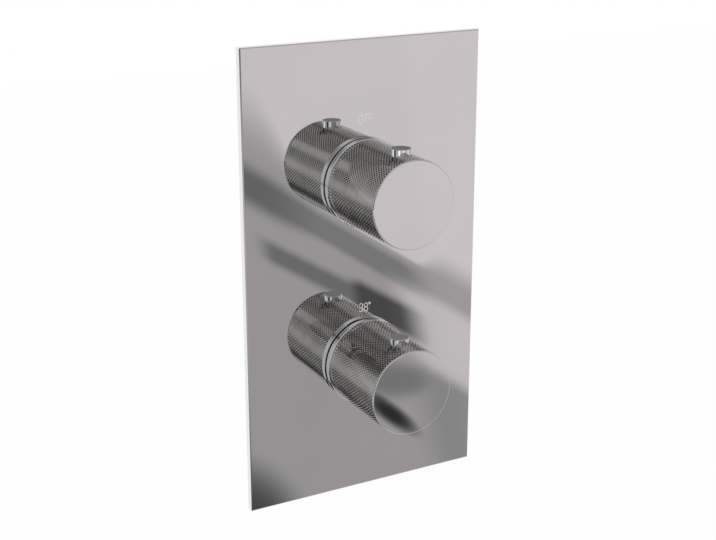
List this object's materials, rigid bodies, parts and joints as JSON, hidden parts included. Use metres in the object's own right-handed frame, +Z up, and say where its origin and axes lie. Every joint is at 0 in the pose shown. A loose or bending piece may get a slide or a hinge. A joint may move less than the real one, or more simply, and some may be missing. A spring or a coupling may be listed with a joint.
{
  "type": "thermostatic shower valve",
  "caption": "Concealed thermostatic shower valve with a rectangular cover plate, an upper flow handle, a lower temperature handle and a cast body behind the wall.",
  "frame": {"origin": "centre of the cover plate's wall side, in the plane of the finished wall", "axes": "+Z up along the plate's long side, +Y into the wall, so the user stands on the -Y side, +X to the right as the user faces the valve"},
  "size_m": [0.12, 0.1128, 0.218],
  "materials": {
    "plate_chrome": "mirror polished",
    "handle_chrome": "mirror polished",
    "knurl_chrome": "bright plated diamond knurl",
    "mark_white": "white enamel filling",
    "foam": "closed-cell foam",
    "body_brass": "cast and machined",
    "cartridge_brass": "machined",
    "copper": "copper",
    "steel": "stainless",
    "seal_rubber": "smooth",
    "inner_plastic": "moulded acetal",
    "dark_plastic": "moulded",
    "ceramic_white": "lapped ceramic"
  },
  "bodies": {
    "valve": {"cover_plate": "plate_chrome", "plate_marks": "mark_white", "plate_gasket": "foam", "valve_body": "body_brass", "fixing_bracket": "steel", "bracket_screws": "steel", "blanking_plug": "body_brass", "blanking_plug_seal": "seal_rubber", "flow_cartridge_housing": "cartridge_brass", "flow_cartridge_seal": "seal_rubber", "flow_fixed_disc": "ceramic_white", "flow_base_seal": "seal_rubber", "temperature_cartridge_housing": "cartridge_brass", "temperature_cartridge_base": "cartridge_brass", "temperature_cartridge_seals": "seal_rubber", "return_spring": "steel", "flow_stop_ring": "inner_plastic", "temperature_stop_ring": "inner_plastic", "hot_inlet_filter": "steel", "cold_inlet_filter": "steel", "hot_check_housing": "inner_plastic", "cold_check_housing": "inner_plastic", "hot_check_spring": "steel", "cold_check_spring": "steel", "flow_guide_sleeve": "dark_plastic", "flow_plate_seal": "seal_rubber", "flow_cartridge_nut": "cartridge_brass", "temperature_guide_sleeve": "dark_plastic", "temperature_plate_seal": "seal_rubber", "temperature_cartridge_nut": "cartridge_brass"},
    "flow_handle": {"flow_handle_core": "handle_chrome", "flow_handle_barrel": "knurl_chrome", "flow_handle_cap": "handle_chrome", "flow_cap_seal": "seal_rubber", "flow_handle_adapter": "inner_plastic", "flow_handle_screw": "steel", "flow_spindle": "cartridge_brass", "flow_spindle_seals": "seal_rubber", "flow_button_spring": "steel", "flow_moving_disc": "ceramic_white"},
    "temperature_handle": {"temperature_handle_core": "handle_chrome", "temperature_handle_barrel": "knurl_chrome", "temperature_handle_cap": "handle_chrome", "temperature_cap_seal": "seal_rubber", "temperature_handle_adapter": "inner_plastic", "temperature_handle_screw": "steel", "temperature_spindle": "cartridge_brass", "temperature_spindle_seals": "seal_rubber", "temperature_button_spring": "steel"},
    "flow_button": {"flow_button": "handle_chrome", "flow_button_catch": "dark_plastic"},
    "temperature_button": {"temperature_button": "handle_chrome", "temperature_button_catch": "dark_plastic"},
    "thermostat_slider": {"pusher_nut": "inner_plastic", "overload_spring": "steel", "wax_element": "copper", "regulating_spool": "inner_plastic"},
    "hot_check_poppet": {"hot_check_poppet": "dark_plastic"},
    "cold_check_poppet": {"cold_check_poppet": "dark_plastic"}
  },
  "joints": [
    {"name": "flow_turn", "type": "hinge", "parent": "valve", "child": "flow_handle", "pos_m": [0, 0, 0.0435], "axis": [0, -1, 0], "range_deg": [0, 90]},
    {"name": "temperature_turn", "type": "hinge", "parent": "valve", "child": "temperature_handle", "pos_m": [0, 0, -0.0435], "axis": [0, -1, 0], "range_deg": [-180, 60]},
    {"name": "flow_button_press", "type": "slide", "parent": "flow_handle", "child": "flow_button", "axis": [0, 0, -1], "range_m": [0, 0.0015], "stiffness_N_per_m": 1200, "springref_m": -0.0015, "deforming": ["flow_button_spring"]},
    {"name": "temperature_button_press", "type": "slide", "parent": "temperature_handle", "child": "temperature_button", "axis": [0, 0, -1], "range_m": [0, 0.0015], "stiffness_N_per_m": 1200, "springref_m": -0.0015, "deforming": ["temperature_button_spring"]},
    {"name": "thermostat_shift", "type": "slide", "parent": "valve", "child": "thermostat_slider", "axis": [0, 1, 0], "range_m": [-0.00076, 0.00026], "deforming": ["return_spring"]},
    {"name": "hot_check_open", "type": "slide", "parent": "valve", "child": "hot_check_poppet", "axis": [1, 0, 0], "range_m": [0, 0.002], "stiffness_N_per_m": 60, "springref_m": -0.003, "deforming": ["hot_check_spring"]},
    {"name": "cold_check_open", "type": "slide", "parent": "valve", "child": "cold_check_poppet", "axis": [-1, 0, 0], "range_m": [0, 0.002], "stiffness_N_per_m": 60, "springref_m": -0.003, "deforming": ["cold_check_spring"]}
  ],
  "couplings": [
    {"joint": "thermostat_shift", "follows": "temperature_turn", "m_per_rad": 0.00023873}
  ]
}
